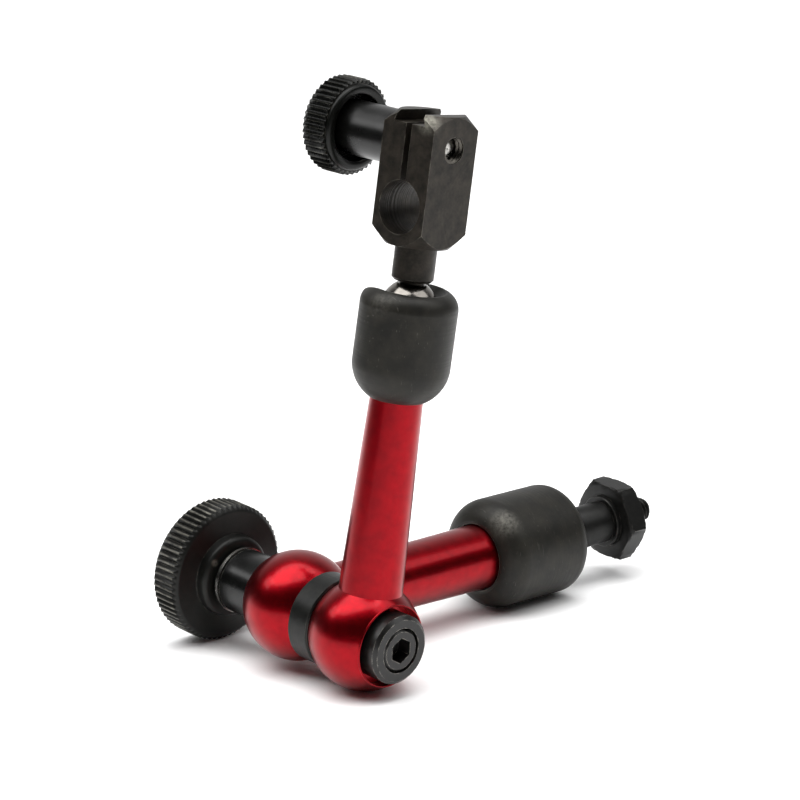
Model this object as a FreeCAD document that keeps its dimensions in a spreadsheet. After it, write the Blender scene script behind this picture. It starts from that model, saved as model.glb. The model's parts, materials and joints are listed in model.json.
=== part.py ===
import FreeCAD, Part
import Sketcher
import math
import os
from FreeCAD import Matrix, Placement, Vector

# Articulated holding arm with a central lock: two short arms meet at a pair of ball-shaped hubs on
# one clamping axis, and each arm ends in a ball joint.  The lower arm carries a threaded stud, the
# upper arm carries a split clamp for an indicator's stem or dovetail.
#
# Frames: the "main axis" runs from the upper hub towards the lock knob.  Heights along it are
# measured from the hub named, heights along an arm from its own hub's centre, and heights on a ball
# joint's stem from the ball's centre.  All lengths are in millimetres and angles in degrees.

SIZES = {
    # hubs and what lies between them
    "hub_ball_dia": 17.0,
    "hub_spacing": 15.0,
    "hub_bore_dia": 6.9,
    "spacer_dia": 14.0,
    "spacer_width": 4.3,
    "spacer_chamfer": 0.25,
    # end cap in the upper hub's recess
    "recess_dia": 12.5,
    "recess_floor": 3.9,
    "cap_dia": 10.7,
    "cap_face": 8.1,
    "cap_bore_dia": 7.0,
    "cap_chamfer": 0.55,
    "cap_spigot_dia": 9.2,
    "cap_spigot_length": 1.6,
    # draw bolt and the cams on it
    "bolt_dia": 4.0,
    "bolt_head_dia": 6.7,
    "bolt_head_height": 3.6,
    "bolt_key": 3.5,
    "bolt_key_depth": 2.4,
    "bolt_end": 35.4,
    "cam_dia": 6.6,
    "cam_small_dia": 5.0,
    "cam_cone_length": 4.0,
    "cam_tail": 1.5,
    "cam_spacer_dia": 5.8,
    "cam_nut_width": 2.5,
    # collar, washers and lock knob
    "collar_dia": 10.1,
    "collar_seat": 3.9,
    "collar_end": 13.0,
    "collar_inner_dia": 4.6,
    "collar_inner_start": 9.0,
    "collar_chamfer": 0.3,
    "washer_dia": 10.4,
    "washer_thick": 0.5,
    "disc_spring_dia": 9.4,
    "disc_spring_height": 1.0,
    "disc_spring_thick": 0.6,
    "knob_dia": 21.8,
    "knob_width": 5.6,
    "knob_chamfer": 0.7,
    "knob_boss_dia": 12.9,
    "knob_boss_height": 2.0,
    "knob_boss_chamfer": 0.6,
    "knob_bore_depth": 6.5,
    "knob_dish_dia": 14.0,
    "knob_dish_depth": 0.4,
    "knob_knurl_count": 66,
    "knob_knurl_depth": 0.45,
    # lower arm
    "lower_tube_root_dia": 9.8,
    "lower_tube_end_dia": 10.4,
    "lower_tube_seat": 6.9,
    "lower_tube_shoulder": 38.2,
    "lower_tube_thread_dia": 8.3,
    "lower_sleeve_dia": 17.6,
    "lower_sleeve_start": 37.3,
    "lower_sleeve_mouth_gap": 0.2,
    "lower_sleeve_rear_rim_width": 0.45,
    "lower_sleeve_rear_straight": 41.0,
    "lower_sleeve_rear_round": 3.9,
    "lower_sleeve_straight_past_ball": 0.6,
    "lower_sleeve_front_round": 2.5,
    "lower_sleeve_front_rim_dia": 12.6,
    "lower_sleeve_end_past_ball": 3.05,
    "lower_sleeve_opening_dia": 10.6,
    "lower_sleeve_lip_dia": 9.2,
    "lower_ball_dia": 10.0,
    "lower_ball_reach": 52.0,
    # upper arm
    "upper_tube_root_dia": 9.7,
    "upper_tube_end_dia": 7.9,
    "upper_tube_seat": 7.0,
    "upper_tube_shoulder": 38.5,
    "upper_tube_thread_dia": 6.8,
    "upper_sleeve_dia": 14.66,
    "upper_sleeve_start": 36.9,
    "upper_sleeve_mouth_gap": 0.25,
    "upper_sleeve_rear_rim_width": 0.2,
    "upper_sleeve_rear_straight": 42.4,
    "upper_sleeve_rear_round": 6.2,
    "upper_sleeve_straight_past_ball": 0.45,
    "upper_sleeve_front_round": 2.84,
    "upper_sleeve_front_rim_dia": 11.1,
    "upper_sleeve_end_past_ball": 2.9,
    "upper_sleeve_opening_dia": 10.6,
    "upper_sleeve_lip_dia": 7.8,
    "upper_ball_dia": 8.5,
    "upper_ball_reach": 50.6,
    "upper_notch_width": 7.0,
    "upper_notch_mouth_width": 10.8,
    # push rods and ball seats inside both arms
    "rod_dia": 3.4,
    "tube_spigot_dia": 7.2,
    "tube_spigot_length": 2.3,
    "seat_below_ball": 2.2,
    "seat_height": 3.4,
    # threaded stud on the lower ball
    "stud_stem_dia": 4.0,
    "stud_neck_dia": 6.8,
    "stud_step_dia": 8.4,
    "stud_step_start": 12.7,
    "stud_hex_start": 13.5,
    "stud_hex_width": 12.0,
    "stud_hex_height": 3.6,
    "stud_hex_bevel": 0.5,
    "stud_thread_dia": 4.0,
    "stud_thread_length": 5.2,
    "edge_break": 0.4,
    # neck and clamp block on the upper ball
    "neck_stem_dia": 3.6,
    "neck_dia": 6.3,
    "neck_sink": 0.2,
    "neck_spigot_dia": 5.0,
    "neck_spigot_cover": 0.3,
    "block_start": 9.4,
    "block_end": 29.1,
    "block_width": 10.0,
    "block_depth": 9.5,
    "block_top_flat_dia": 9.8,
    "block_foot_flat_dia": 9.6,
    "stem_bore_dia": 8.0,
    "stem_bore_height": 15.1,
    "slot_width": 1.1,
    "groove_floor": 27.45,
    "groove_floor_width": 6.2,
    "groove_mouth_width": 4.9,
    # clamp screw, spacer tube and clamp knob
    "clamp_height": 24.25,
    "clamp_screw_dia": 3.9,
    "clamp_thread_dia": 4.0,
    "clamp_clear_dia": 4.3,
    "clamp_screw_inset": 1.4,
    "clamp_spacer_dia": 8.24,
    "clamp_spacer_length": 11.1,
    "clamp_knob_dia": 14.6,
    "clamp_knob_start": 14.2,
    "clamp_knob_rim_start": 14.9,
    "clamp_knob_end": 19.2,
    "clamp_knob_ring_dia": 13.0,
    "clamp_knob_recess_dia": 10.1,
    "clamp_knob_cover": 1.2,
    "clamp_knob_teeth": 46,
    "clamp_knob_tooth_depth": 0.5,
    # clearances
    "running_gap": 0.05,
    "fixed_gap": 0.01,
    "seat_gap": 0.02,
}

# Pose in which the arm stands on a bench: on the knob's rim, the upper hub and the lower sleeve.
UPPER_ARM_ANGLE = 83.1     # about the main axis, from level towards upright
NECK_LEAN = 2.5            # upper ball joint, towards the lock knob
NECK_SIDE_LEAN = 1.6       # upper ball joint, away from the stem bore's near face
CLAMP_TURN = 3.2           # clamp block about its own neck
STUD_LEAN = 2.9            # lower ball joint, away from the lock knob
STUD_LIFT = 3.0            # lower ball joint, upwards
HEX_TURN = 29.2            # stud about its own neck

FOOT_CONE_SLOPE = 1.1      # rise per radius of the cone turned under the clamp block
STEM_HOLE_DEPTH = 2 / 3    # depth of a ball's stem hole below its centre, in ball radii
TUBE_END_OVERLAP = 0.2     # share of a ball seat's height that the tube's end reaches over
CUT_MARGIN = 1.0           # how far a cutting outline stands outside the material

doc = FreeCAD.newDocument("HoldingArm")
sheet = doc.addObject("Spreadsheet::Sheet", "Sizes")
for row, (alias, value) in enumerate(SIZES.items(), start=1):
    sheet.set(f"A{row}", alias)
    sheet.set(f"B{row}", str(value))
    sheet.setAlias(f"B{row}", alias)
doc.recompute()


class Size:
    """A length that carries its value and the spreadsheet formula that it comes from."""

    def __init__(self, value, formula):
        self.value = value
        self.formula = formula

    def __add__(self, other):
        other = as_size(other)
        return Size(self.value + other.value, f"({self.formula} + {other.formula})")

    def __sub__(self, other):
        other = as_size(other)
        return Size(self.value - other.value, f"({self.formula} - {other.formula})")

    def __mul__(self, factor):
        factor = as_size(factor)
        return Size(self.value * factor.value, f"({self.formula} * {factor.formula})")

    def __truediv__(self, divisor):
        divisor = as_size(divisor)
        return Size(self.value / divisor.value, f"({self.formula} / {divisor.formula})")

    def __neg__(self):
        return Size(-self.value, f"(0 - {self.formula})")


def as_size(number):
    return number if isinstance(number, Size) else Size(float(number), repr(float(number)))


def size(alias):
    return Size(float(SIZES[alias]), f"Sizes.{alias}")


def half(alias):
    return size(alias) / 2


def leg(hypotenuse, other):
    """The remaining side of a right triangle."""
    value = math.sqrt(hypotenuse.value ** 2 - other.value ** 2)
    return Size(value, f"sqrt({hypotenuse.formula} ^ 2 - {other.formula} ^ 2)")


ZERO = as_size(0)


# ---- sketching and turning -------------------------------------------------------------------

def origin_plane(body, role):
    return next(plane for plane in body.Origin.OriginFeatures if plane.Role == role)


def new_sketch(body, role, name):
    sketch = body.newObject("Sketcher::SketchObject", name)
    sketch.AttachmentSupport = [(origin_plane(body, role), "")]
    sketch.MapMode = "FlatFace"
    return sketch


def drive(sketch, constraint, name, length):
    """Add a constraint and bind its value to the length's formula."""
    index = sketch.addConstraint(constraint)
    sketch.renameConstraint(index, name)
    sketch.setExpression(f"Constraints.{name}", length.formula)


def pin(sketch, kind, axis, element, point, name, length):
    """Hold one coordinate of a point: on the axis itself, or at a driven distance from the origin."""
    if abs(length.value) < 1e-9:
        sketch.addConstraint(Sketcher.Constraint("PointOnObject", element, point, axis))
    elif length.value > 0:
        constraint = Sketcher.Constraint(kind, -1, 1, element, point, length.value)
        drive(sketch, constraint, name, length)
    else:
        constraint = Sketcher.Constraint(kind, element, point, -1, 1, -length.value)
        drive(sketch, constraint, name, -length)


def arc_between(start, end, radius):
    """Minor arc from start to end; a positive radius has its centre on the left of the way."""
    chord = end - start
    middle = (start + end) / 2
    sagitta_leg = math.sqrt(radius ** 2 - (chord.Length / 2) ** 2)
    left = Vector(-chord.y, chord.x, 0).normalize()
    centre = middle + left * math.copysign(sagitta_leg, radius)
    first, last = (start, end) if radius > 0 else (end, start)
    angles = [math.atan2(point.y - centre.y, point.x - centre.x) for point in (first, last)]
    circle = Part.Circle(centre, Vector(0, 0, 1), abs(radius))
    return Part.ArcOfCircle(circle, angles[0], angles[1])


def draw_outline(sketch, corners, tag=""):
    """Closed outline through corners (x, y) or (x, y, radius of the arc that arrives there)."""
    points = [Vector(corner[0].value, corner[1].value, 0) for corner in corners]
    elements = []
    for number in range(len(corners)):
        following = (number + 1) % len(corners)
        arrival = corners[following]
        if len(arrival) == 3:
            curve = arc_between(points[number], points[following], arrival[2].value)
            element = sketch.addGeometry(curve, False)
            ends = (1, 2) if arrival[2].value > 0 else (2, 1)
            radius = arrival[2] if arrival[2].value > 0 else -arrival[2]
            drive(sketch, Sketcher.Constraint("Radius", element, radius.value),
                  f"{tag}r{following}", radius)
        else:
            curve = Part.LineSegment(points[number], points[following])
            element = sketch.addGeometry(curve, False)
            ends = (1, 2)
        elements.append((element, ends))
    for number, (element, ends) in enumerate(elements):
        following, following_ends = elements[(number + 1) % len(elements)]
        sketch.addConstraint(
            Sketcher.Constraint("Coincident", element, ends[1], following, following_ends[0]))
        pin(sketch, "DistanceX", -2, element, ends[0], f"{tag}x{number}", corners[number][0])
        pin(sketch, "DistanceY", -1, element, ends[0], f"{tag}y{number}", corners[number][1])


def draw_circle(sketch, x, y, diameter, tag=""):
    circle = Part.Circle(Vector(x.value, y.value, 0), Vector(0, 0, 1), diameter.value / 2)
    element = sketch.addGeometry(circle, False)
    drive(sketch, Sketcher.Constraint("Diameter", element, diameter.value), f"{tag}d", diameter)
    pin(sketch, "DistanceX", -2, element, 3, f"{tag}cx", x)
    pin(sketch, "DistanceY", -1, element, 3, f"{tag}cy", y)


def draw_hexagon(sketch, across_flats, tag=""):
    """Hexagon about the origin with two corners on the X axis."""
    corner = across_flats / math.sqrt(3)
    flat = across_flats / 2
    outline = [(corner, ZERO), (corner / 2, flat), (-corner / 2, flat),
               (-corner, ZERO), (-corner / 2, -flat), (corner / 2, -flat)]
    draw_outline(sketch, outline, tag)


def new_body(name):
    body = doc.addObject("PartDesign::Body", name)
    body.Label = name
    return body


def turned(name, corners):
    """A piece turned about its own Z axis, from an outline of (radius, height) corners."""
    body = new_body(name)
    sketch = new_sketch(body, "XZ_Plane", name + "_profile")
    draw_outline(sketch, corners)
    turning = body.newObject("PartDesign::Revolution", name + "_turning")
    turning.Profile = sketch
    turning.ReferenceAxis = (sketch, ["V_Axis"])
    turning.Angle = 360
    sketch.Visibility = False
    doc.recompute()
    return body


def finish_cut(body, feature, volume):
    """Make the cut the body's tip and stop if it took nothing away."""
    doc.recompute()
    body.Tip = feature
    doc.recompute()
    if body.Shape.Volume > volume - 1e-3:
        raise RuntimeError(f"{feature.Name} cuts nothing")


def turned_cut(body, name, axis, corners):
    """Turn an outline about the X axis (H_Axis) or Z axis (V_Axis) and take it away."""
    volume = body.Shape.Volume
    sketch = new_sketch(body, "XZ_Plane", name + "_profile")
    draw_outline(sketch, corners)
    groove = body.newObject("PartDesign::Groove", name)
    groove.Profile = sketch
    groove.ReferenceAxis = (sketch, [axis])
    groove.Angle = 360
    finish_cut(body, groove, volume)
    return groove


def pocket(body, name, sketch, depth=None, reverse=False, both_ways=False):
    """Cut a sketch through everything, or to a depth."""
    volume = body.Shape.Volume
    cut = body.newObject("PartDesign::Pocket", name)
    cut.Profile = sketch
    cut.Reversed = reverse
    if both_ways:
        cut.Midplane = True
    if depth is None:
        cut.Type = "ThroughAll"
    else:
        cut.Type = "Length"
        cut.Length = depth.value
        cut.setExpression("Length", depth.formula)
    finish_cut(body, cut, volume)
    return cut


def repeat_round(body, name, cut, sketch, count_alias):
    """Repeat a cut round the body's Z axis, as often as the sheet says."""
    volume = body.Shape.Volume
    pattern = body.newObject("PartDesign::PolarPattern", name)
    pattern.Originals = [cut]
    pattern.Axis = (sketch, ["N_Axis"])
    pattern.Angle = 360
    pattern.Occurrences = int(SIZES[count_alias])
    pattern.setExpression("Occurrences", f"Sizes.{count_alias}")
    finish_cut(body, pattern, volume)


# ---- pieces on the main axis -----------------------------------------------------------------

hub_radius = half("hub_ball_dia")
hub_bore = half("hub_bore_dia")
hub_flat = (size("hub_spacing") - size("spacer_width")) / 2
hub_flat_radius = leg(hub_radius, hub_flat)
rod_bore = half("rod_dia") + size("running_gap")
spigot_end = size("tube_spigot_length")


def cut_arm_socket(body, seat):
    """Spot face, tube socket and push-rod hole, on the hub's X axis."""
    outside = hub_radius + CUT_MARGIN
    socket = half("tube_spigot_dia") + size("fixed_gap")
    turned_cut(body, body.Name + "_socket", "H_Axis", [
        (ZERO, ZERO), (outside, ZERO), (outside, outside), (seat, outside), (seat, socket),
        (seat - spigot_end, socket), (seat - spigot_end, rod_bore), (ZERO, rod_bore)])


def make_lower_hub():
    collar = half("collar_dia") + size("fixed_gap")
    body = turned("lower_hub", [
        (hub_bore, -hub_flat), (hub_flat_radius, -hub_flat),
        (collar, leg(hub_radius, collar), hub_radius),
        (collar, size("collar_seat")), (hub_bore, size("collar_seat"))])
    cut_arm_socket(body, size("lower_tube_seat"))
    return body


def make_upper_hub():
    recess = half("recess_dia")
    spigot = half("cap_spigot_dia") + size("fixed_gap")
    floor = -size("recess_floor")
    spigot_floor = floor + size("cap_spigot_length")
    body = turned("upper_hub", [
        (hub_bore, spigot_floor), (spigot, spigot_floor), (spigot, floor), (recess, floor),
        (recess, -leg(hub_radius, recess)), (hub_flat_radius, hub_flat, hub_radius),
        (hub_bore, hub_flat)])
    cut_arm_socket(body, size("upper_tube_seat"))
    return body


def make_spacer_ring():
    outer = half("spacer_dia")
    chamfer = size("spacer_chamfer")
    end = half("spacer_width")
    return turned("spacer_ring", [
        (hub_bore, -end), (outer - chamfer, -end), (outer, chamfer - end),
        (outer, end - chamfer), (outer - chamfer, end), (hub_bore, end)])


def make_end_cap():
    outer = half("cap_dia")
    bore = half("cap_bore_dia")
    face = -size("cap_face")
    seat = -size("recess_floor")
    spigot = half("cap_spigot_dia")
    chamfer = size("cap_chamfer")
    tail = seat + size("cap_spigot_length") - size("running_gap")
    return turned("end_cap", [
        (bore, face), (outer - chamfer, face), (outer, face + chamfer), (outer, seat),
        (spigot, seat), (spigot, tail), (bore, tail)])


bolt_radius = half("bolt_dia")
bolt_clear = bolt_radius + size("seat_gap")
head_end = size("bolt_head_height") - size("cap_face")
cone_half = half("cam_cone_length")
upper_cam_end = cone_half + size("cam_tail")
lower_cam_start = size("hub_spacing") - cone_half - size("cam_tail") / 2
lower_cam_end = size("hub_spacing") + cone_half + size("cam_tail")


def make_draw_bolt():
    head = half("bolt_head_dia")
    face = -size("cap_face")
    edge = size("edge_break")
    body = turned("draw_bolt", [
        (ZERO, face), (head - edge, face), (head, face + edge), (head, head_end),
        (bolt_radius, head_end), (bolt_radius, size("bolt_end") - edge),
        (bolt_radius - edge, size("bolt_end")), (ZERO, size("bolt_end"))])
    sketch = new_sketch(body, "XY_Plane", "draw_bolt_key_outline")
    sketch.AttachmentOffset.Base.z = face.value
    sketch.setExpression("AttachmentOffset.Base.z", face.formula)
    draw_hexagon(sketch, size("bolt_key"))
    pocket(body, "draw_bolt_key", sketch, depth=size("bolt_key_depth"), reverse=True)
    return body


def make_cam(name, centre, start, end):
    """Cone on the bolt: its large end faces the bolt's head, and its middle is at the push rod."""
    large = half("cam_dia")
    small = half("cam_small_dia")
    return turned(name, [
        (bolt_clear, start), (large, start), (large, centre - cone_half),
        (small, centre + cone_half), (small, end), (bolt_clear, end)])


def make_tube_piece(name, bore, outer, start, end):
    return turned(name, [(bore, start), (outer, start), (outer, end), (bore, end)])


def make_knob_collar():
    outer = half("collar_dia")
    inner = half("collar_inner_dia")
    step = size("collar_inner_start")
    end = size("collar_end")
    chamfer = size("collar_chamfer")
    return turned("knob_collar", [
        (hub_bore, size("collar_seat")), (outer, size("collar_seat")), (outer, end - chamfer),
        (outer - chamfer, end), (inner, end), (inner, step), (hub_bore, step)])


def make_disc_spring():
    outer = half("disc_spring_dia")
    inner = half("collar_inner_dia")
    low = size("collar_end") + size("washer_thick")
    high = low + size("disc_spring_height")
    thick = size("disc_spring_thick")
    return turned("disc_spring", [
        (inner, high - thick), (outer, low), (outer, low + thick), (inner, high)])


knob_boss_start = size("collar_end") + size("washer_thick") + size("disc_spring_height")
knob_face = knob_boss_start + size("knob_boss_height")


def make_lock_knob():
    outer = half("knob_dia")
    chamfer = size("knob_chamfer")
    boss = half("knob_boss_dia")
    bevel = size("knob_boss_chamfer")
    back = knob_face + size("knob_width")
    dish = half("knob_dish_dia")
    dish_floor = back - size("knob_dish_depth")
    bore = bolt_radius + size("running_gap")
    bore_end = knob_boss_start + size("knob_bore_depth")
    body = turned("lock_knob", [
        (bore, knob_boss_start), (boss - bevel, knob_boss_start),
        (boss, knob_boss_start + bevel), (boss, knob_face),
        (outer - chamfer, knob_face), (outer, knob_face + chamfer), (outer, back - chamfer),
        (outer - chamfer, back), (dish, back), (dish, dish_floor), (ZERO, dish_floor),
        (ZERO, bore_end), (bore, bore_end)])
    depth = size("knob_knurl_depth")
    sketch = new_sketch(body, "XY_Plane", "lock_knob_knurl_outline")
    draw_outline(sketch, [(outer - depth, ZERO), (outer + depth, depth), (outer + depth, -depth)])
    cut = pocket(body, "lock_knob_knurl", sketch, reverse=True)
    repeat_round(body, "lock_knob_knurling", cut, sketch, "knob_knurl_count")
    return body


# ---- pieces of an arm: "lower" or "upper" -------------------------------------------------------

def arm_size(arm, name):
    return size(f"{arm}_{name}")


def seat_bottom(arm):
    return arm_size(arm, "ball_reach") - size("seat_below_ball") - size("seat_height")


def make_tube(arm):
    seat = arm_size(arm, "tube_seat")
    shoulder = arm_size(arm, "tube_shoulder")
    thread = arm_size(arm, "tube_thread_dia") / 2
    spigot = half("tube_spigot_dia")
    foot = seat - spigot_end + size("running_gap")
    end = seat_bottom(arm) - size("seat_height") * TUBE_END_OVERLAP
    return turned(f"{arm}_tube", [
        (rod_bore, foot), (spigot, foot), (spigot, seat),
        (arm_size(arm, "tube_root_dia") / 2, seat),
        (arm_size(arm, "tube_end_dia") / 2, shoulder), (thread, shoulder),
        (thread, end), (rod_bore, end)])


def make_sleeve(arm):
    """Outer sleeve: screwed on the tube, and turned in at its mouth to hold the ball."""
    ball = arm_size(arm, "ball_reach")
    outer = arm_size(arm, "sleeve_dia") / 2
    start = arm_size(arm, "sleeve_start")
    mouth = arm_size(arm, "tube_end_dia") / 2 + arm_size(arm, "sleeve_mouth_gap")
    lip = arm_size(arm, "sleeve_lip_dia") / 2
    socket = arm_size(arm, "ball_dia") / 2 + size("seat_gap")
    thread = arm_size(arm, "tube_thread_dia") / 2 + size("seat_gap")
    cavity_floor = seat_bottom(arm) - size("edge_break")
    rear_rim = mouth + arm_size(arm, "sleeve_rear_rim_width")
    front_rim = arm_size(arm, "sleeve_front_rim_dia") / 2
    end = ball + arm_size(arm, "sleeve_end_past_ball")
    shoulder = arm_size(arm, "tube_shoulder") + size("running_gap")
    return turned(f"{arm}_sleeve", [
        (mouth, start), (rear_rim, start),
        (outer, arm_size(arm, "sleeve_rear_straight"), arm_size(arm, "sleeve_rear_round")),
        (outer, ball + arm_size(arm, "sleeve_straight_past_ball")),
        (front_rim, end, arm_size(arm, "sleeve_front_round")),
        (arm_size(arm, "sleeve_opening_dia") / 2, end), (lip, ball + leg(socket, lip)),
        (socket, ball, -socket), (socket, cavity_floor), (thread, cavity_floor),
        (thread, shoulder), (mouth, shoulder)])


def cut_sleeve_notch(body):
    """Flared notch towards the lock knob, in which the neck can lie at right angles."""
    reach = half("upper_sleeve_dia") + CUT_MARGIN
    width = half("upper_notch_width")
    mouth = half("upper_notch_mouth_width")
    ball = size("upper_ball_reach")
    end = ball + size("upper_sleeve_end_past_ball")
    top = end + CUT_MARGIN
    sketch = new_sketch(body, "YZ_Plane", "upper_sleeve_notch_outline")
    draw_outline(sketch, [
        (-mouth, top), (-mouth, end), (-width, ball), (ZERO, ball - width, width),
        (width, ball, width), (mouth, end), (mouth, top)])
    pocket(body, "upper_sleeve_notch", sketch, depth=reach, reverse=True)


def make_push_rod(arm):
    """Rod with a ball-shaped tip that rests on the cam's cone."""
    radius = half("rod_dia")
    slope = (half("cam_dia") - half("cam_small_dia")) / size("cam_cone_length")
    tilt = math.atan(slope.value)
    cone_middle = (half("cam_dia") + half("cam_small_dia")) / 2
    tip_centre = cone_middle + (radius + size("seat_gap")) / math.cos(tilt)
    return turned(f"{arm}_push_rod", [
        (ZERO, tip_centre - radius), (radius, tip_centre, radius),
        (radius, seat_bottom(arm)), (ZERO, seat_bottom(arm))])


def make_ball_seat(arm):
    ball = arm_size(arm, "ball_reach")
    cup = arm_size(arm, "ball_dia") / 2 + size("seat_gap")
    outer = cup - size("running_gap")
    rim = ball - size("seat_below_ball")
    rim_inner = leg(cup, size("seat_below_ball"))
    return turned(f"{arm}_ball_seat", [
        (ZERO, seat_bottom(arm)), (outer, seat_bottom(arm)), (outer, rim), (rim_inner, rim),
        (ZERO, ball - cup, -cup)])


def make_ball(arm, stem_alias):
    """Hardened ball with a hole for its stem and a small flat round the hole."""
    radius = arm_size(arm, "ball_dia") / 2
    hole = half(stem_alias) + size("seat_gap")
    flat = hole + size("edge_break")
    return turned(f"{arm}_ball", [
        (ZERO, -radius), (flat, leg(radius, flat), radius), (hole, leg(radius, flat)),
        (hole, -radius * STEM_HOLE_DEPTH), (ZERO, -radius * STEM_HOLE_DEPTH)])


def make_stud():
    stem = half("stud_stem_dia")
    neck = half("stud_neck_dia")
    step = half("stud_step_dia")
    thread = half("stud_thread_dia")
    edge = size("edge_break")
    corner = size("stud_hex_width") / math.sqrt(3)
    flat = half("stud_hex_width")
    bevel = size("stud_hex_bevel")
    low = size("stud_hex_start")
    high = low + size("stud_hex_height")
    tip = high + size("stud_thread_length")
    foot = running_foot("lower")
    start = half("lower_ball_dia")
    body = turned("lower_stud", [
        (ZERO, foot), (stem, foot), (stem, start), (neck - edge, start), (neck, start + edge),
        (neck, size("stud_step_start")), (step, size("stud_step_start")), (step, low),
        (flat, low), (corner, low + bevel), (corner, high - bevel), (flat, high),
        (thread, high), (thread, tip - edge), (thread - edge, tip), (ZERO, tip)])
    sketch = new_sketch(body, "XY_Plane", "lower_stud_hex_outline")
    sketch.AttachmentOffset.Base.z = low.value
    sketch.setExpression("AttachmentOffset.Base.z", low.formula)
    draw_circle(sketch, ZERO, ZERO, (corner + CUT_MARGIN) * 2, "rim")
    draw_hexagon(sketch, size("stud_hex_width"), "hex")
    pocket(body, "lower_stud_hex", sketch, depth=size("stud_hex_height"), reverse=True)
    return body


def running_foot(arm):
    """Bottom of a stem inside its ball."""
    return size("seat_gap") - arm_size(arm, "ball_dia") / 2 * STEM_HOLE_DEPTH


# ---- clamp on the upper ball --------------------------------------------------------------------

neck_spigot_end = (size("stem_bore_height") - half("stem_bore_dia")
                   - size("neck_spigot_cover"))


def make_neck():
    stem = half("neck_stem_dia")
    neck = half("neck_dia")
    spigot = half("neck_spigot_dia")
    edge = size("edge_break")
    start = half("upper_ball_dia") - size("neck_sink")
    seat = size("block_start")
    end = neck_spigot_end
    foot = running_foot("upper")
    return turned("upper_neck", [
        (ZERO, foot), (stem, foot), (stem, start), (neck - edge, start), (neck, start + edge),
        (neck, seat), (spigot, seat), (spigot, end), (ZERO, end)])


def make_clamp_block():
    """Square bar turned to a cone at both ends, with the stem bore, slot and dovetail groove."""
    width = half("block_width")
    depth = half("block_depth")
    start = size("block_start")
    end = size("block_end")
    body = new_body("clamp_block")
    sketch = new_sketch(body, "XY_Plane", "clamp_block_section")
    sketch.AttachmentOffset.Base.z = start.value
    sketch.setExpression("AttachmentOffset.Base.z", start.formula)
    draw_outline(sketch, [(-width, -depth), (width, -depth), (width, depth), (-width, depth)])
    bar = body.newObject("PartDesign::Pad", "clamp_block_bar")
    bar.Profile = sketch
    bar.Length = (end - start).value
    bar.setExpression("Length", (end - start).formula)
    doc.recompute()

    outside = width + depth
    foot = half("block_foot_flat_dia")
    crown = half("block_top_flat_dia")
    turned_cut(body, "clamp_block_foot", "V_Axis", [
        (foot, start), (outside, start), (outside, start + (outside - foot) * FOOT_CONE_SLOPE)])
    turned_cut(body, "clamp_block_crown", "V_Axis", [
        (crown, end), (outside, end - (outside - crown)), (outside, end)])
    socket = half("neck_spigot_dia") + size("fixed_gap")
    socket_end = neck_spigot_end + size("running_gap")
    turned_cut(body, "clamp_block_socket", "V_Axis", [
        (ZERO, start), (socket, start), (socket, socket_end), (ZERO, socket_end)])

    bore = new_sketch(body, "XZ_Plane", "clamp_block_bore_outline")
    draw_circle(bore, ZERO, size("stem_bore_height"), size("stem_bore_dia"))
    pocket(body, "clamp_block_bore", bore, both_ways=True)

    slot = half("slot_width")
    floor = size("groove_floor")
    floor_half = half("groove_floor_width")
    mouth_half = half("groove_mouth_width")
    groove = new_sketch(body, "XZ_Plane", "clamp_block_groove_outline")
    draw_outline(groove, [
        (-slot, size("stem_bore_height")), (slot, size("stem_bore_height")), (slot, floor),
        (floor_half, floor), (mouth_half, end), (-mouth_half, end), (-floor_half, floor),
        (-slot, floor)])
    pocket(body, "clamp_block_groove", groove, both_ways=True)

    thread = new_sketch(body, "YZ_Plane", "clamp_block_thread_outline")
    draw_circle(thread, ZERO, size("clamp_height"), size("clamp_thread_dia"))
    pocket(body, "clamp_block_thread", thread, both_ways=True)
    clear = new_sketch(body, "YZ_Plane", "clamp_block_clear_outline")
    draw_circle(clear, ZERO, size("clamp_height"), size("clamp_clear_dia"))
    pocket(body, "clamp_block_clear", clear, reverse=True)
    return body


clamp_spacer_end = half("block_width") + size("clamp_spacer_length")


def make_clamp_screw():
    radius = half("clamp_screw_dia")
    edge = size("edge_break")
    tip = size("clamp_screw_inset") - half("block_width")
    end = size("clamp_knob_end") - size("clamp_knob_cover")
    return turned("clamp_screw", [
        (ZERO, tip), (radius - edge, tip), (radius, tip + edge), (radius, end), (ZERO, end)])


def make_clamp_knob():
    outer = half("clamp_knob_dia")
    ring = half("clamp_knob_ring_dia")
    recess = half("clamp_knob_recess_dia")
    screw = half("clamp_screw_dia") + size("fixed_gap")
    face = size("clamp_knob_start")
    rim = size("clamp_knob_rim_start")
    end = size("clamp_knob_end")
    edge = size("edge_break")
    screw_end = end - size("clamp_knob_cover")
    floor = clamp_spacer_end + size("seat_gap")
    body = turned("clamp_knob", [
        (screw, floor), (recess, floor), (recess, face), (ring - edge, face),
        (ring, face + edge), (outer, rim), (outer, end - edge), (outer - edge, end), (ZERO, end),
        (ZERO, screw_end), (screw, screw_end)])
    depth = size("clamp_knob_tooth_depth")
    sketch = new_sketch(body, "XY_Plane", "clamp_knob_tooth_outline")
    draw_outline(sketch, [
        (outer - depth, -depth / 2), (outer + depth, -depth / 2),
        (outer + depth, depth / 2), (outer - depth, depth / 2)])
    cut = pocket(body, "clamp_knob_tooth", sketch, reverse=True)
    repeat_round(body, "clamp_knob_teeth", cut, sketch, "clamp_knob_teeth")
    return body


# ---- standing pose ------------------------------------------------------------------------------

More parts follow.
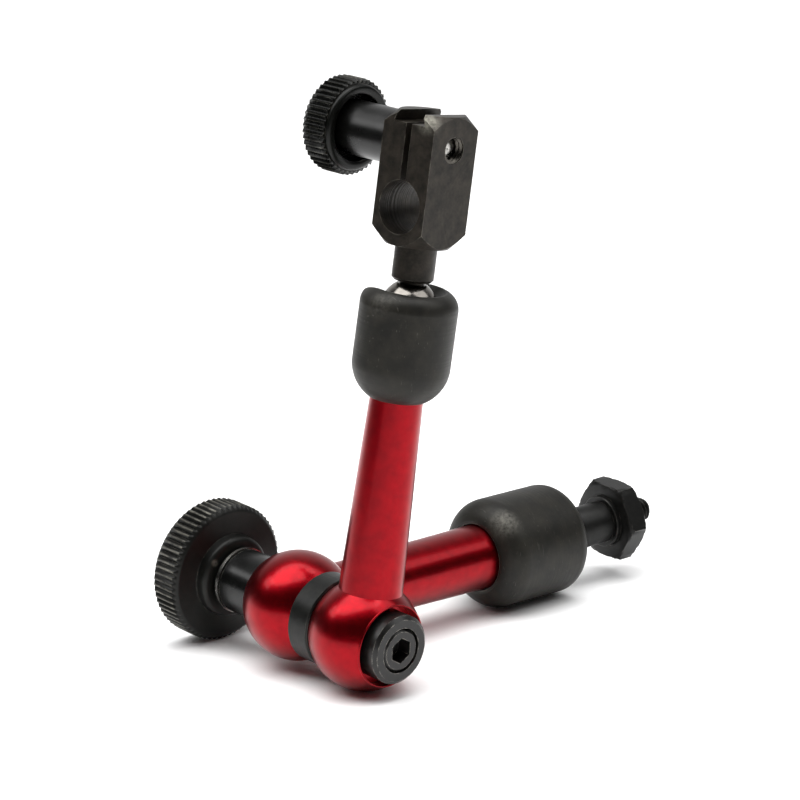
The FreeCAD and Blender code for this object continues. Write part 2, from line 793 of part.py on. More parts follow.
def frame(origin, x_axis, z_axis):
    """Placement with the given Z axis and an X axis as near as can be to the one given."""
    z_axis = z_axis.normalize()
    x_axis = (x_axis - z_axis * x_axis.dot(z_axis)).normalize()
    y_axis = z_axis.cross(x_axis)
    return Placement(Matrix(x_axis.x, y_axis.x, z_axis.x, origin.x,
                            x_axis.y, y_axis.y, z_axis.y, origin.y,
                            x_axis.z, y_axis.z, z_axis.z, origin.z, 0, 0, 0, 1))


def turned_about(vector, axis, degrees):
    return FreeCAD.Rotation(axis, degrees).multVec(vector)


def leaning(axis, first, second, first_degrees, second_degrees):
    """Axis leant towards two directions square to it."""
    lean = first * math.tan(math.radians(first_degrees))
    lean += second * math.tan(math.radians(second_degrees))
    return (axis + lean).normalize()


def resting_tilt(rim_distance, rim_radius, support_height):
    """Tilt at which a rim this far out on an axis meets the bench, the axis starting this high."""
    reach = math.hypot(rim_distance, rim_radius)
    return math.acos(support_height / reach) - math.atan2(rim_distance, rim_radius)


def pose():
    """Frames of every group of pieces, with the upper hub above the origin of the bench."""
    spacing = SIZES["hub_spacing"]
    rim = spacing + knob_face.value + SIZES["knob_chamfer"]
    tilt = resting_tilt(rim, SIZES["knob_dia"] / 2, SIZES["hub_ball_dia"] / 2)
    main_axis = Vector(-math.cos(tilt), 0, math.sin(tilt))
    level = Vector(0, 1, 0)
    rise = Vector(math.sin(tilt), 0, math.cos(tilt))
    upper_centre = Vector(0, 0, SIZES["hub_ball_dia"] / 2)
    lower_centre = upper_centre + main_axis * spacing

    straight_end = SIZES["lower_ball_reach"] + SIZES["lower_sleeve_straight_past_ball"]
    drop = -resting_tilt(straight_end, SIZES["lower_sleeve_dia"] / 2, lower_centre.z)
    lower_angle = math.asin(math.sin(-drop) / math.cos(tilt))
    lower = level * math.cos(lower_angle) + rise * math.sin(lower_angle)
    upper_angle = math.radians(UPPER_ARM_ANGLE)
    upper = level * math.cos(upper_angle) + rise * math.sin(upper_angle)

    neck = leaning(upper, main_axis, upper.cross(main_axis), NECK_LEAN, -NECK_SIDE_LEAN)
    clamp_way = (main_axis - neck * main_axis.dot(neck)).normalize()
    clamp_way = turned_about(clamp_way, neck, CLAMP_TURN)
    stud = leaning(lower, main_axis, lower.cross(main_axis), -STUD_LEAN, STUD_LIFT)
    hex_way = turned_about(stud.cross(main_axis), stud, HEX_TURN)

    upper_ball = upper_centre + upper * SIZES["upper_ball_reach"]
    lower_ball = lower_centre + lower * SIZES["lower_ball_reach"]
    clamp_centre = upper_ball + neck * SIZES["clamp_height"]
    return {
        "upper_hub": frame(upper_centre, upper, main_axis),
        "lower_hub": frame(lower_centre, lower, main_axis),
        "spacer": frame((upper_centre + lower_centre) / 2, rise, main_axis),
        "upper_axis": frame(upper_centre, rise, main_axis),
        "lower_axis": frame(lower_centre, rise, main_axis),
        "upper_arm": frame(upper_centre, main_axis, upper),
        "lower_arm": frame(lower_centre, main_axis, lower),
        "upper_ball": frame(upper_ball, clamp_way, neck),
        "lower_ball": frame(lower_ball, hex_way, stud),
        "clamp": frame(clamp_centre, neck, clamp_way),
    }


def build():
    """Every piece with the frame that carries it."""
    pieces = [
        (make_lower_hub(), "lower_hub"),
        (make_upper_hub(), "upper_hub"),
        (make_spacer_ring(), "spacer"),
        (make_end_cap(), "upper_axis"),
        (make_draw_bolt(), "upper_axis"),
        (make_cam("upper_cam", ZERO, head_end, upper_cam_end), "upper_axis"),
        (make_tube_piece("cam_spacer", bolt_clear, half("cam_spacer_dia"), upper_cam_end,
                         lower_cam_start), "upper_axis"),
        (make_cam("lower_cam", size("hub_spacing"), lower_cam_start, lower_cam_end),
         "upper_axis"),
        (make_tube_piece("cam_nut", bolt_clear, half("cam_dia"), lower_cam_end,
                         lower_cam_end + size("cam_nut_width")), "upper_axis"),
        (make_knob_collar(), "lower_axis"),
        (make_tube_piece("thrust_washer", half("collar_inner_dia"), half("washer_dia"),
                         size("collar_end"), size("collar_end") + size("washer_thick")),
         "lower_axis"),
        (make_disc_spring(), "lower_axis"),
        (make_lock_knob(), "lower_axis"),
        (make_ball("lower", "stud_stem_dia"), "lower_ball"),
        (make_stud(), "lower_ball"),
        (make_ball("upper", "neck_stem_dia"), "upper_ball"),
        (make_neck(), "upper_ball"),
        (make_clamp_block(), "upper_ball"),
        (make_clamp_screw(), "clamp"),
        (make_tube_piece("clamp_spacer", half("clamp_clear_dia"), half("clamp_spacer_dia"),
                         half("block_width"), clamp_spacer_end), "clamp"),
        (make_clamp_knob(), "clamp"),
    ]
    for arm in ("lower", "upper"):
        pieces += [(make_tube(arm), f"{arm}_arm"), (make_push_rod(arm), f"{arm}_arm"),
                   (make_ball_seat(arm), f"{arm}_arm")]
    lower_sleeve = make_sleeve("lower")
    upper_sleeve = make_sleeve("upper")
    cut_sleeve_notch(upper_sleeve)
    pieces += [(lower_sleeve, "lower_arm"), (upper_sleeve, "upper_arm")]
    return pieces


def main():
    frames = pose()
    pieces = build()
    for piece, frame_name in pieces:
        piece.Placement = frames[frame_name]
    doc.recompute()

    # The finished arm stands with the middle of its footprint's box at the origin.
    box = FreeCAD.BoundBox()
    for piece, _ in pieces:
        box.add(piece.Shape.optimalBoundingBox(False, False))
    shift = Vector(-box.Center.x, -box.Center.y, -box.ZMin)
    for piece, _ in pieces:
        piece.Placement.Base += shift
    doc.recompute()

    for item in doc.Objects:
        if "Invalid" in item.State or "Error" in item.State:
            raise RuntimeError(f"{item.Name} failed: {item.State}")
    os.makedirs("parts", exist_ok=True)
    for piece, _ in pieces:
        shape = piece.Shape
        if shape.isNull() or not shape.isValid():
            raise RuntimeError(f"{piece.Label} has no valid shape")
        shape.exportStep(f"parts/{piece.Label}.step")
        print(f"{piece.Label:16s} {len(shape.Solids)} solid {shape.Volume:9.2f} mm3")
    print("box", [round(value, 3) for value in (box.XLength, box.YLength, box.ZLength)])
    print("shift", [round(value, 4) for value in shift])


main()
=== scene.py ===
# %% [markdown]
# # An articulated indicator arm, and how its looks are built in Blender
#
# The object is a small holding arm from a measuring bench. Two short red arms meet at a central
# lock with a big knurled knob. The lower arm ends in a ball joint with a threaded stud, and the
# upper arm ends in a ball joint with a split clamp and a second, smaller knob.
#
# The shapes come from a CAD model, which this script loads as a fixed frame. Every piece that is
# made here is placed from that frame, in metres, and rides on one of its bodies, so that the whole
# arm can be posed.

# %% Load the CAD frame and keep its size
import bmesh
import bpy
import json
import math
from mathutils import Matrix, Vector


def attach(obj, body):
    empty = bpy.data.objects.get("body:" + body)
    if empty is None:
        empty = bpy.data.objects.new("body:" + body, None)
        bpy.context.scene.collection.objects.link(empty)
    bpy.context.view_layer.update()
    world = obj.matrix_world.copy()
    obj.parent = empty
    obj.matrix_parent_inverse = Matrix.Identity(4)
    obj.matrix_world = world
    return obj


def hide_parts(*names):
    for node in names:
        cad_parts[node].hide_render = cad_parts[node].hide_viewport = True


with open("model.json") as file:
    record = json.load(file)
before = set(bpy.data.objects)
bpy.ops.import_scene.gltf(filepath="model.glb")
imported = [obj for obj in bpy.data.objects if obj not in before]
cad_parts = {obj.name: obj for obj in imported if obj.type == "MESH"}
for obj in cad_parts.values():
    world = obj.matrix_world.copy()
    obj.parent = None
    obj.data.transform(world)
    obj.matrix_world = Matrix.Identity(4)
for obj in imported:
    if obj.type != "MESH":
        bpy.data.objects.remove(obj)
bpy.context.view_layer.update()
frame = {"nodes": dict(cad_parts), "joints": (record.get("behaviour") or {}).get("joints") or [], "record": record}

# %% [markdown]
# ## Where things are
#
# The record that comes with the CAD model lists every joint with its axis and a point on it. A lathe
# needs just that: a centre and an axis. So the centres of the hubs, the balls and the clamp are read
# from the joints, and that of the stem bore from its mount. None of them is typed in by hand.

# %% Centres and axes of the arm
MM = 0.001
joint_named = {joint["name"]: joint for joint in frame["joints"]}
mount_named = {mount["name"]: mount for mount in frame["record"]["mounts"]}
clamp_knob_point = 16.0 * MM     # from the clamp's centre to the point given for the small knob
lock_knob_point = 20.0 * MM      # from the lower hub's centre to the point given for the big knob

lock_axis = -Vector(joint_named["elbow"]["axis"])
upper_hub_centre = Vector(joint_named["elbow"]["pos_m"])
lower_hub_centre = Vector(joint_named["lock_turn"]["pos_m"]) - lock_knob_point * lock_axis
upper_arm_axis = Vector(joint_named["upper_ball_swivel"]["axis"])
lower_arm_axis = Vector(joint_named["lower_ball_swivel"]["axis"])
lower_ball_centre = Vector(joint_named["stud_spin"]["pos_m"])
stud_axis = Vector(joint_named["stud_spin"]["axis"])
clamp_axis = Vector(joint_named["clamp_turn"]["axis"])
clamp_centre = Vector(joint_named["clamp_turn"]["pos_m"]) - clamp_knob_point * clamp_axis
stem_bore_centre = Vector(mount_named["stem_clamp"]["pos_m"])
stem_bore_axis = Vector(mount_named["stem_clamp"]["axis"])
print("upper hub at", [round(c / MM, 1) for c in upper_hub_centre], "mm")

# %% [markdown]
# ## Small helpers for materials
#
# Colours are picked as sRGB hex values, the way a paint shop names them, but a renderer adds light
# in linear numbers. One function turns one into the other.
#
# A procedural material is a chain of nodes. Rather than one function for each kind of node, a
# single function adds any node, sets its values and plugs in its links. Two more start a material
# and plug the finished chains into its shader.

# %% Colours: sRGB hex to linear
def linear(hex_colour):
    channels = [int(hex_colour[i:i + 2], 16) / 255 for i in (1, 3, 5)]
    return [c / 12.92 if c <= 0.04045 else ((c + 0.055) / 1.055) ** 2.4 for c in channels] + [1.0]


print("mid grey #808080 is", round(linear("#808080")[0], 3), "in linear light")


# %% Nodes: add one with its settings, start a material, plug its shader
def add_node(material, kind, values=None, links=None, **settings):
    node = material.node_tree.nodes.new(kind)
    for name, value in settings.items():
        setattr(node, name, value)
    for socket, value in (values or {}).items():
        node.inputs[socket].default_value = value
    for socket, source in (links or {}).items():
        material.node_tree.links.new(source, node.inputs[socket])
    return node


def start_material(name, **shader_values):
    material = bpy.data.materials.new(name)
    material.use_nodes = True
    shader = material.node_tree.nodes["Principled BSDF"]
    for socket, value in shader_values.items():
        shader.inputs[socket.replace("_", " ")].default_value = value
    return material, shader


def plug(material, shader, **links):
    for socket, source in links.items():
        material.node_tree.links.new(source, shader.inputs[socket.replace("_", " ")])


print("helpers:", add_node.__name__, start_material.__name__, plug.__name__)


# %% [markdown]
# ## Real sizes in a pattern
#
# The frame is in metres and each object sits at the origin, so Object coordinates are millimetres
# once multiplied by a thousand. A Noise texture makes about one blob per unit, so a scale of
# 1000 / size gives blobs of that many millimetres.

# %% Pattern scale from a size in millimetres
def blobs_of(size_mm):
    return 1.0 / (size_mm * MM)


print("grain of 0.25 mm needs a noise scale of", blobs_of(0.25))


# %% [markdown]
# ## Clouds of two tones
#
# No real finish is one flat colour. Dye, salt bath, oil and fingers leave slow clouds in it. So each
# finish here drifts between two close tones: a Noise texture feeds a Color Ramp with two stops, and
# the nearer the stops are to each other, the harder the border of a cloud is.

# %% Cloud a colour between two tones
def clouded(material, place, size_mm, detail, roughness, stops, tones):
    """The clouded colour, and the noise behind it."""
    cloud = add_node(material, "ShaderNodeTexNoise",
                     {"Scale": blobs_of(size_mm), "Detail": detail, "Roughness": roughness},
                     {"Vector": place}).outputs["Fac"]
    ramp = add_node(material, "ShaderNodeValToRGB", links={"Fac": cloud})
    for element, stop, tone in zip(ramp.color_ramp.elements, stops, tones):
        element.position, element.color = stop, tone
    return ramp.outputs[0], cloud


print("clouds of 2 mm need a noise scale of", blobs_of(2.0))


# %% [markdown]
# ## Worn edges
#
# On blackened steel the first thing to rub off is the edge: the oxide is only a micron thick. The
# Bevel node rounds the surface normal near an edge. Where that rounded normal differs from the true
# one there is an edge, so their dot product, which is one on a flat face and less at an edge, turns
# into a mask of the edges. A coarse noise breaks it up, because hands and tables do not wear an edge
# evenly.

# %% A mask of worn edges
NEARLY_FLAT, FULL_EDGE = 0.995, 0.86


def worn_edges(material, place, width_mm, patch_mm, amount):
    bevel = add_node(material, "ShaderNodeBevel", {"Radius": width_mm * MM}, samples=4)
    true_normal = add_node(material, "ShaderNodeNewGeometry")
    agree = add_node(material, "ShaderNodeVectorMath", operation="DOT_PRODUCT",
                     links={0: bevel.outputs[0], 1: true_normal.outputs["Normal"]})
    edge = add_node(material, "ShaderNodeMapRange",
                    {"From Min": NEARLY_FLAT, "From Max": FULL_EDGE, "To Min": 0.0,
                     "To Max": amount},
                    {"Value": agree.outputs["Value"]})
    patches = add_node(material, "ShaderNodeTexNoise",
                       {"Scale": blobs_of(patch_mm), "Detail": 4.0}, {"Vector": place})
    broken = add_node(material, "ShaderNodeMapRange",
                      {"From Min": 0.42, "From Max": 0.62, "To Min": 0.0, "To Max": 1.0},
                      {"Value": patches.outputs["Fac"]})
    return add_node(material, "ShaderNodeMath", operation="MULTIPLY",
                    links={0: edge.outputs[0], 1: broken.outputs[0]}).outputs[0]


turned_by = math.degrees(math.acos(NEARLY_FLAT))
print("wear starts where the rounded normal turns by", round(turned_by, 1), "degrees")


# %% [markdown]
# ## Rubbed places and painted highlights
#
# Hands and tools also rub through the black on open faces, such as the shoulder of the upper sleeve
# or the boss of the lock knob. The same lighter spot also stands in for light: on the shoulder of
# the lower sleeve it is partly rubbed steel and partly a painted highlight, and on the corner of the
# clamp's ear it is a painted highlight. This could be painted on an unwrapped image, but a soft
# ball round a point in space needs no unwrapping. A fine noise breaks the ball up into specks.
# Where several kinds of wear and the painted highlights meet, the strongest one shows.

# %% A lighter spot, for rubbed steel and for painted highlights, and the strongest of several marks
SPECK_MM = 0.7


def rubbed_and_highlit_spot(material, place, spot, radius_mm, amount):
    away = add_node(material, "ShaderNodeVectorMath", {1: spot}, {0: place},
                    operation="DISTANCE").outputs["Value"]
    near = add_node(material, "ShaderNodeMapRange",
                    {"From Min": radius_mm * MM, "From Max": 0.0, "To Min": 0.0, "To Max": 1.0},
                    {"Value": away}, interpolation_type="SMOOTHSTEP").outputs[0]
    specks = add_node(material, "ShaderNodeTexNoise",
                      {"Scale": blobs_of(SPECK_MM), "Detail": 4.0, "Roughness": 0.7},
                      {"Vector": place}).outputs["Fac"]
    flecked = add_node(material, "ShaderNodeMapRange",
                       {"From Min": 0.30, "From Max": 0.65, "To Min": 0.0, "To Max": amount},
                       {"Value": specks}).outputs[0]
    return add_node(material, "ShaderNodeMath", operation="MULTIPLY",
                    links={0: near, 1: flecked}).outputs[0]


def strongest(material, *masks):
    lightened = masks[0]
    for mask in masks[1:]:
        lightened = add_node(material, "ShaderNodeMath", links={0: lightened, 1: mask},
                        operation="MAXIMUM").outputs[0]
    return lightened


print("a rubbed spot breaks up into specks of", SPECK_MM, "mm")


# %% Where hands and tools have rubbed through, and where a highlight is painted
def on_the_round(centre, axis, height_mm, radius_mm, towards):
    """A place on a turned piece: so high, so far out, on the side that faces a direction."""
    out = (towards - axis * towards.dot(axis)).normalized()
    return centre + (axis * height_mm + out * radius_mm) * MM


upper_rub = on_the_round(upper_hub_centre, upper_arm_axis, height_mm=52.1, radius_mm=7.1,
                         towards=Vector((0.15, -0.98, 0.1)))
# The lower sleeve's shoulder faces the top light: its spot is partly rubbed steel and partly a painted highlight.
lower_rub_and_highlight = on_the_round(lower_hub_centre, lower_arm_axis, height_mm=38.9, radius_mm=8.1,
                         towards=Vector((0.6, 0.0, 0.8)))
# The corner of the clamp's ear faces up to the top light: its lighter spot is a painted highlight.
ear_highlight = on_the_round(clamp_centre, -clamp_axis, height_mm=3.4, radius_mm=6.1,
                       towards=Vector((0.0, -0.65, 0.75)))
boss_rub = on_the_round(lower_hub_centre, lock_axis, height_mm=14.5, radius_mm=5.6,
                        towards=Vector((0.0, -0.8, 0.6)))
print("the lower sleeve's shoulder is rubbed at", [round(c / MM, 1) for c in lower_rub_and_highlight], "mm")


# %% [markdown]
# ## Marks that follow an axis
#
# Everything round on this arm was turned on a lathe, and a lathe leaves fine rings square to its
# axis. To draw them a texture must know how far along the axis a point lies and how far out it is.
# Both come from a dot product and a length.

# %% Height along an axis and distance from it, in millimetres
def axis_coordinates(material, place, centre, axis):
    offset = add_node(material, "ShaderNodeVectorMath", {1: centre}, {0: place},
                      operation="SUBTRACT").outputs[0]
    height = add_node(material, "ShaderNodeVectorMath", {1: axis}, {0: offset},
                      operation="DOT_PRODUCT").outputs["Value"]
    along = add_node(material, "ShaderNodeVectorMath", {0: axis}, {"Scale": height},
                     operation="SCALE").outputs[0]
    across = add_node(material, "ShaderNodeVectorMath", links={0: offset, 1: along},
                      operation="SUBTRACT").outputs[0]
    radius = add_node(material, "ShaderNodeVectorMath", links={0: across},
                      operation="LENGTH").outputs["Value"]
    return [add_node(material, "ShaderNodeMath", {1: 1 / MM}, {0: value},
                     operation="MULTIPLY").outputs[0] for value in (height, radius)]


def turned_rings(material, height, radius, spacing_mm):
    """Uneven rings along the axis on the round, and out from it on a flat end."""
    step = add_node(material, "ShaderNodeMath", links={0: height, 1: radius}, operation="ADD")
    rings = add_node(material, "ShaderNodeTexNoise", {"Scale": 1 / spacing_mm, "Detail": 3.0},
                     {"W": step.outputs[0]}, noise_dimensions="1D")
    return rings.outputs["Fac"]


print("rings 0.25 mm apart need a noise scale of", 1 / 0.25, "for a height in millimetres")


# %% [markdown]
# ## Finish 1: candy red anodised aluminium
#
# The hubs and tubes are turned aluminium, anodised red and sealed with a clear gloss. Light goes
# through the clear red layer, bounces off the metal under it and comes back redder, which gives the
# deep "candy" look. In the shader that is a metal with a saturated colour under a clear coat. A
# grain in the metal blurs the highlight, and a slow mottle keeps the colour alive. The real grain is
# finer than a tenth of a millimetre; it is drawn at 0.45 mm, as coarse as it needs to be to show.

# %% Make the red finish
def candy_red_anodised_aluminium():
    material, shader = start_material(
        "candy_red_anodised_aluminium", Metallic=1.0, Coat_Weight=0.2, Coat_Roughness=0.16)
    place = add_node(material, "ShaderNodeTexCoord").outputs["Object"]
    red, _ = clouded(material, place, size_mm=1.6, detail=3.0, roughness=0.5,
                     stops=(0.32, 0.70), tones=(linear("#840411"), linear("#950613")))
    grain = add_node(material, "ShaderNodeTexNoise",
                     {"Scale": blobs_of(0.45), "Detail": 2.0}, {"Vector": place}).outputs["Fac"]
    rough = add_node(material, "ShaderNodeMapRange",
                     {"From Min": 0.3, "From Max": 0.7, "To Min": 0.29, "To Max": 0.34},
                     {"Value": grain}).outputs[0]
    dent = add_node(material, "ShaderNodeBump", {"Strength": 0.07, "Distance": 0.03 * MM},
                    {"Height": grain}).outputs[0]
    plug(material, shader, Base_Color=red, Roughness=rough, Normal=dent)
    return material


red_finish = candy_red_anodised_aluminium()
print("made", red_finish.name)


# %% [markdown]
# ## Finish 2: blued and oiled steel
#
# The two sleeves are steel, blackened in a hot salt bath and oiled. That gives a dull grey-green
# black, almost without gloss. It carries turning rings, thin scratches from other tools in the
# drawer, and a few rubbed places where grey steel shows. On the lower sleeve's shoulder that grey
# spot is partly a painted highlight. The real turning rings are about a tenth of a millimetre
# apart; they are drawn at 0.35 mm, as coarse as they need to be to show.

# %% Thin scratches: the peaks of a squeezed and twisted noise
SCRATCH_MM, SCRATCH_SQUEEZE = 2.4, 5.0


def thin_scratches(material, place):
    scratch_way = add_node(material, "ShaderNodeMapping",
                           {"Rotation": (0.5, 0.9, 0.3), "Scale": (1.0, SCRATCH_SQUEEZE, 1.0)},
                           {"Vector": place}).outputs[0]
    scratch = add_node(material, "ShaderNodeTexNoise",
                       {"Scale": blobs_of(SCRATCH_MM), "Detail": 3.0, "Distortion": 2.5},
                       {"Vector": scratch_way}).outputs["Fac"]
    return add_node(material, "ShaderNodeMapRange",
                    {"From Min": 0.66, "From Max": 0.74, "To Min": 0.0, "To Max": 0.16},
                    {"Value": scratch}).outputs[0]


print("scratches are", SCRATCH_MM, "mm long and", SCRATCH_MM / SCRATCH_SQUEEZE, "mm wide")


# %% Make the blued finish, for a piece turned about an axis
def blued_oiled_steel(name, centre, axis, rub_and_highlight_place, rub_and_highlight_amount):
    material, shader = start_material(name, Metallic=0.35, Specular_IOR_Level=0.35)
    place = add_node(material, "ShaderNodeTexCoord").outputs["Object"]
    height, radius = axis_coordinates(material, place, centre, axis)
    black, _ = clouded(material, place, size_mm=3.5, detail=6.0, roughness=0.6,
                       stops=(0.35, 0.72), tones=(linear("#1a1916"), linear("#2a2822")))
    # Scratches, worn edges and a lighter spot: rubbed steel, and on the lower sleeve partly a painted highlight.
    lightened = strongest(material, thin_scratches(material, place),
                     worn_edges(material, place, width_mm=0.35, patch_mm=2.2, amount=0.5),
                     rubbed_and_highlit_spot(material, place, rub_and_highlight_place, radius_mm=3.4, amount=rub_and_highlight_amount))
    colour = add_node(material, "ShaderNodeMix", {"B": linear("#8a877e")},
                      {"Factor": lightened, "A": black}, data_type="RGBA")
    rings = turned_rings(material, height, radius, 0.35)
    rough = add_node(material, "ShaderNodeMapRange",
                     {"From Min": 0.3, "From Max": 0.7, "To Min": 0.44, "To Max": 0.51},
                     {"Value": rings}).outputs[0]
    grain = add_node(material, "ShaderNodeTexNoise",
                     {"Scale": blobs_of(0.3), "Detail": 2.0}, {"Vector": place}).outputs["Fac"]
    relief = add_node(material, "ShaderNodeMath", links={0: rings, 1: grain},
                      operation="ADD").outputs[0]
    dent = add_node(material, "ShaderNodeBump", {"Strength": 0.05, "Distance": 0.02 * MM},
                    {"Height": relief}).outputs[0]
    plug(material, shader, Base_Color=colour.outputs["Result"], Roughness=rough, Normal=dent)
    return material


upper_sleeve_finish = blued_oiled_steel("blued_oiled_steel_upper_sleeve", upper_hub_centre,
                                        upper_arm_axis, upper_rub, rub_and_highlight_amount=0.16)
# The lower sleeve's spot is partly rubbed steel and partly a painted highlight.
lower_sleeve_finish = blued_oiled_steel("blued_oiled_steel_lower_sleeve", lower_hub_centre,
                                        lower_arm_axis, lower_rub_and_highlight, rub_and_highlight_amount=0.5)
print("made", upper_sleeve_finish.name, lower_sleeve_finish.name)


# %% [markdown]
# ## Finish 3: black oxide on machined steel
#
# The knobs, the clamp block, its neck, the stud and the ring between the hubs are steel with a black
# oxide skin: darker and a little glossier than the sleeves. Their sharp edges and the crests of
# their knurls are worn to a brown grey. The same grey makes a rubbed spot on the lock knob's boss
# and a painted highlight on the corner of the clamp's ear. One recipe makes them all and takes a
# gloss and a wear value, because the block is more handled than the stud. As on the sleeves, the
# turning rings are drawn coarser than they are. In the bore of the block they are deep, as a drill
# leaves them.

# %% Wear on the crests of a knurl, and deep rings in a bore
CREST_DEPTH = 0.28           # how far down from the rim a knurl is rubbed, in mm
NO_CRESTS = 99.0             # a radius beyond every piece, in mm
NO_BORE = 0.0
NO_SPOT = (0.0, 0.0, 0.0)     # the origin, which lies well away from all of these pieces


def worn_crests(material, radius, cloud, crest_mm, wear):
    crests = add_node(material, "ShaderNodeMapRange",
                      {"From Min": crest_mm - CREST_DEPTH, "From Max": crest_mm, "To Max": 1.0},
                      {"Value": radius}).outputs[0]
    rubbed = add_node(material, "ShaderNodeMath", links={0: crests, 1: cloud},
                      operation="MULTIPLY").outputs[0]
    return add_node(material, "ShaderNodeMapRange",
                    {"From Min": 0.30, "From Max": 0.65, "To Max": wear},
                    {"Value": rubbed}).outputs[0]


def deeper_in_bore(material, rings, radius, bore_mm):
    in_bore = add_node(material, "ShaderNodeMath", {1: bore_mm}, {0: radius},
                       operation="LESS_THAN").outputs[0]
    depth = add_node(material, "ShaderNodeMapRange", {"To Min": 0.05, "To Max": 1.0},
                     {"Value": in_bore}).outputs[0]
    return add_node(material, "ShaderNodeMath", links={0: rings, 1: depth},
                    operation="MULTIPLY").outputs[0]


print("a knurl is rubbed", CREST_DEPTH, "mm down from its crests")


# %% Make the black oxide finish
def black_oxide_steel(name, centre, axis, tones, gloss, wear, ring_mm, crest_mm=NO_CRESTS,
                      bore_mm=NO_BORE, rub_and_highlight_place=NO_SPOT, rub_and_highlight_mm=2.6):
    material, shader = start_material(name, Metallic=0.4, Specular_IOR_Level=0.35)
    place = add_node(material, "ShaderNodeTexCoord").outputs["Object"]
    height, radius = axis_coordinates(material, place, centre, axis)
    black, cloud = clouded(material, place, size_mm=2.0, detail=6.0, roughness=0.7,
                           stops=(0.35, 0.75), tones=[linear(tone) for tone in tones])
    # Worn edges, worn crests and a lighter spot: a rubbed one on the lock knob, a painted highlight on the clamp
    # block.
    lightened = strongest(material,
                     worn_edges(material, place, width_mm=0.16, patch_mm=1.4, amount=wear),
                     worn_crests(material, radius, cloud, crest_mm, wear),
                     rubbed_and_highlit_spot(material, place, rub_and_highlight_place, rub_and_highlight_mm, amount=1.0))
    colour = add_node(material, "ShaderNodeMix", {"B": linear("#8a877c")},
                      {"Factor": lightened, "A": black}, data_type="RGBA")
    rings = turned_rings(material, height, radius, ring_mm)
    rough = add_node(material, "ShaderNodeMapRange",
                     {"From Min": 0.3, "From Max": 0.7, "To Min": gloss, "To Max": gloss + 0.14},
                     {"Value": rings}).outputs[0]
    relief = deeper_in_bore(material, rings, radius, bore_mm)
    dent = add_node(material, "ShaderNodeBump", {"Strength": 1.0, "Distance": 0.06 * MM},
                    {"Height": relief}).outputs[0]
    plug(material, shader, Base_Color=colour.outputs["Result"], Roughness=rough, Normal=dent)
    return material


# %% Blacken the knobs, the stud, the block and the spacer ring
LOCK_KNOB_RIM, CLAMP_KNOB_RIM = 10.9, 7.3        # radii in mm
JUST_OUTSIDE_STEM_BORE = 4.1                     # the bore's own radius is 4 mm

lock_knob_finish = black_oxide_steel(
    "black_oxide_steel_lock_knob", lower_hub_centre, lock_axis, ("#0d0e0c", "#191916"),
    gloss=0.33, wear=0.65, ring_mm=0.25, crest_mm=LOCK_KNOB_RIM, rub_and_highlight_place=boss_rub, rub_and_highlight_mm=0.8)
clamp_knob_finish = black_oxide_steel(
    "black_oxide_steel_clamp_knob", clamp_centre, clamp_axis, ("#080907", "#121310"),
    gloss=0.25, wear=0.42, ring_mm=0.25, crest_mm=CLAMP_KNOB_RIM)
stud_finish = black_oxide_steel(
    "black_oxide_steel_stud", lower_ball_centre, stud_axis, ("#0f0f0e", "#1b1b19"),
    gloss=0.34, wear=0.4, ring_mm=0.2)
# The lighter spot on the corner of the clamp block's ear is a painted highlight.
block_finish = black_oxide_steel(
    "black_oxide_steel_clamp_block", stem_bore_centre, stem_bore_axis, ("#17140f", "#38322b"),
    gloss=0.36, wear=0.7, ring_mm=0.4, bore_mm=JUST_OUTSIDE_STEM_BORE, rub_and_highlight_place=ear_highlight)
spacer_finish = black_oxide_steel(
    "black_oxide_steel_spacer_ring", upper_hub_centre, lock_axis, ("#0f100f", "#1f201d"),
    gloss=0.30, wear=0.5, ring_mm=0.3)
for finish in (lock_knob_finish, clamp_knob_finish, stud_finish, block_finish, spacer_finish):
    print("made", finish.name)


# %% [markdown]
# ## Finish 4: the smoother steels
#
# The collar and the clamp screw are ground before blackening, so they are glossy, and bright steel
# shows where their edges are chipped. The end cap and the bolt are the same, handled to a browner
# and duller black. The clamp's spacer tube is a satin black. The balls are bearing balls, polished
# but filmed with oil, so that their mirror is blurred. The washer is plain turned steel, and the
# thread in the clamp's small hole is steel gone dark. They differ only in colour, gloss and wear, so
# one recipe with a few values is enough.

# %% The recipe for a smooth steel
DARKER, LIGHTER = 0.8, 1.25      # how far its clouds drift from the steel's own tone


def smooth_steel(name, colour, metallic, rough_from, rough_to, smear_mm, relief, wear=0.0):
    material, shader = start_material(name, Metallic=metallic)
    place = add_node(material, "ShaderNodeTexCoord").outputs["Object"]
    tone = linear(colour)
    darker = [c * DARKER for c in tone[:3]] + [1.0]
    lighter = [c * LIGHTER for c in tone[:3]] + [1.0]
    smeared, smear = clouded(material, place, smear_mm, detail=3.0, roughness=0.5,
                             stops=(0.3, 0.75), tones=(darker, lighter))
    rough = add_node(material, "ShaderNodeMapRange",
                     {"From Min": 0.3, "From Max": 0.7, "To Min": rough_from,
                      "To Max": rough_to},
                     {"Value": smear}).outputs[0]
    dent = add_node(material, "ShaderNodeBump", {"Strength": relief, "Distance": 0.01 * MM},
                    {"Height": smear}).outputs[0]
    chips = worn_edges(material, place, width_mm=0.20, patch_mm=0.9, amount=wear)
    lightened = add_node(material, "ShaderNodeMix", {"B": linear("#a39f95")},
                    {"Factor": chips, "A": smeared}, data_type="RGBA")
    plug(material, shader, Base_Color=lightened.outputs["Result"], Roughness=rough, Normal=dent)
    return material


print("a smooth steel drifts between", DARKER, "and", LIGHTER, "of its own tone")


